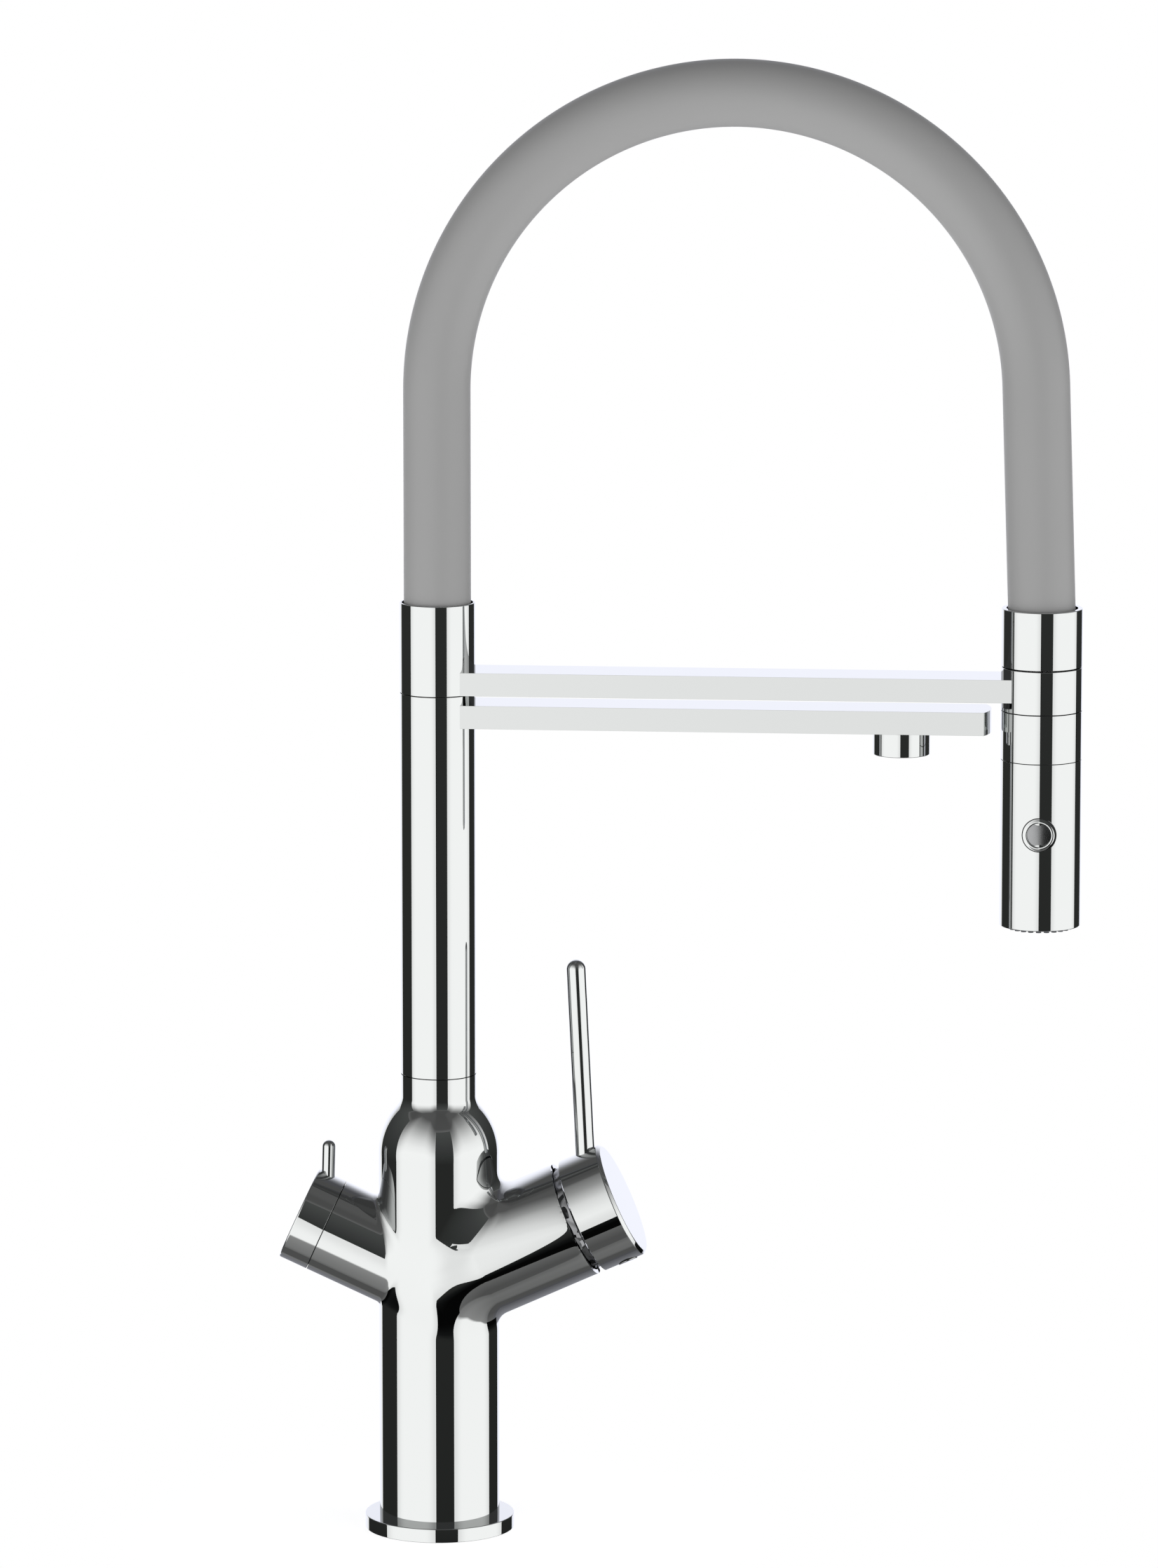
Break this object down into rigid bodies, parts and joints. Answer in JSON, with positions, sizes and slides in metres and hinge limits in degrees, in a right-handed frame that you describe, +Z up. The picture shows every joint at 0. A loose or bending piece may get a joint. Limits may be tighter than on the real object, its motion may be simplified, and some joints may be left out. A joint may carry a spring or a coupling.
{
  "type": "kitchen tap",
  "caption": "Tall single-lever kitchen tap with a silicone-hose arch, a pull-down spray docked on an upper arm, and a lower arm with its own outlet for filtered water.",
  "frame": {"origin": "centre of the foot on the worktop, on the axis of the riser", "axes": "+Z up; +X along the arms, towards the spray and the mixer lever; -Y towards the user"},
  "size_m": [0.2985, 0.056, 0.5528],
  "materials": {
    "chrome": "polished chrome on brass",
    "nut_chrome": "dark plated brass",
    "silicone_hose": "matte grey silicone",
    "button_grey": "satin grey",
    "nozzle_silicone": "soft grey silicone",
    "seal_rubber": "black rubber",
    "hose_rubber": "smooth nylon-covered hose",
    "brass": "machined brass",
    "white_acetal": "moulded acetal",
    "grey_plastic": "moulded plastic",
    "ceramic": "lapped alumina",
    "steel": "turned stainless steel",
    "magnet": "nickel-plated magnet"
  },
  "bodies": {
    "body": {"base_seal": "seal_rubber", "base_flange": "chrome", "hose_guide": "white_acetal", "body_casting": "chrome", "swivel_spigot": "brass", "mixer_cartridge": "grey_plastic", "cartridge_seals": "seal_rubber", "fixed_disc": "ceramic", "cartridge_nut": "nut_chrome", "filter_headwork": "brass", "filter_fixed_disc": "ceramic"},
    "mixer_carrier": {"lever_carrier": "white_acetal", "stem_pivot_pin": "steel"},
    "mixer_disc": {"sliding_disc": "ceramic"},
    "mixer_lever": {"cartridge_stem": "steel", "lever_cap": "chrome", "lever_rod": "chrome", "lever_set_screw": "steel", "screw_plug": "chrome"},
    "filter_handle": {"filter_turning_disc": "ceramic", "filter_spindle": "brass", "filter_knob": "chrome", "filter_pin": "chrome", "filter_set_screw": "steel"},
    "riser": {"lower_swivel_bush": "white_acetal", "swivel_o_rings": "seal_rubber", "lower_snap_ring": "white_acetal", "riser_tube": "chrome", "filter_water_tube": "hose_rubber", "upper_spigot": "brass", "filtered_water_arm": "chrome", "filter_outlet": "chrome", "outlet_aerator": "grey_plastic"},
    "spout": {"upper_sleeve": "chrome", "upper_swivel_bush": "white_acetal", "upper_snap_ring": "white_acetal", "holder_arm": "chrome", "silicone_hose": "silicone_hose", "support_spring": "steel", "inner_hose": "hose_rubber", "holder_ring": "chrome", "holder_magnet": "magnet", "hose_connector": "chrome", "tail_guide": "white_acetal"},
    "spray_stem": {"stem_nipple": "brass", "stem_seals": "seal_rubber", "check_valve": "white_acetal", "hose_tail": "hose_rubber", "hose_ferrule": "steel"},
    "spray_head": {"spray_collar": "chrome", "docking_washer": "steel", "flow_core": "grey_plastic", "spray_body": "chrome", "button_bezel": "chrome", "spray_face": "grey_plastic", "spray_nozzles": "nozzle_silicone", "spray_aerator": "grey_plastic"},
    "spray_button": {"spray_button": "button_grey", "diverter_spool": "steel", "button_spring": "steel"}
  },
  "joints": [
    {"name": "riser_swivel", "type": "hinge", "parent": "body", "child": "riser", "pos_m": [0, 0, 0.1734], "axis": [0, 0, 1], "continuous": true},
    {"name": "spout_swivel", "type": "hinge", "parent": "riser", "child": "spout", "pos_m": [0, 0, 0.3173], "axis": [0, 0, 1], "continuous": true},
    {"name": "spray_pull", "type": "slide", "parent": "spout", "child": "spray_stem", "axis": [0, 0, -1], "range_m": [0, 0.1]},
    {"name": "spray_turn", "type": "hinge", "parent": "spray_stem", "child": "spray_head", "pos_m": [0.2236, 0, 0.3], "axis": [0, 0, 1], "continuous": true},
    {"name": "button_press", "type": "slide", "parent": "spray_head", "child": "spray_button", "axis": [0, 1, 0], "range_m": [0, 0.0015], "stiffness_N_per_m": 600},
    {"name": "mixer_turn", "type": "hinge", "parent": "body", "child": "mixer_carrier", "pos_m": [0.04098, 0, 0.11399], "axis": [0.9107, 0, 0.4131], "range_deg": [-45, 45]},
    {"name": "mixer_tilt", "type": "hinge", "parent": "mixer_carrier", "child": "mixer_lever", "pos_m": [0.04098, 0, 0.11399], "axis": [0, 1, 0], "range_deg": [0, 7.2]},
    {"name": "disc_slide", "type": "slide", "parent": "mixer_carrier", "child": "mixer_disc", "axis": [-0.4131, 0, 0.9107], "range_m": [0, 0.0014]},
    {"name": "filter_turn", "type": "hinge", "parent": "body", "child": "filter_handle", "pos_m": [-0.04553, 0, 0.11606], "axis": [0.9107, 0, -0.4131], "range_deg": [0, 90]}
  ],
  "couplings": [
    {"joint": "disc_slide", "follows": "mixer_tilt", "m_per_rad": 0.0109}
  ]
}
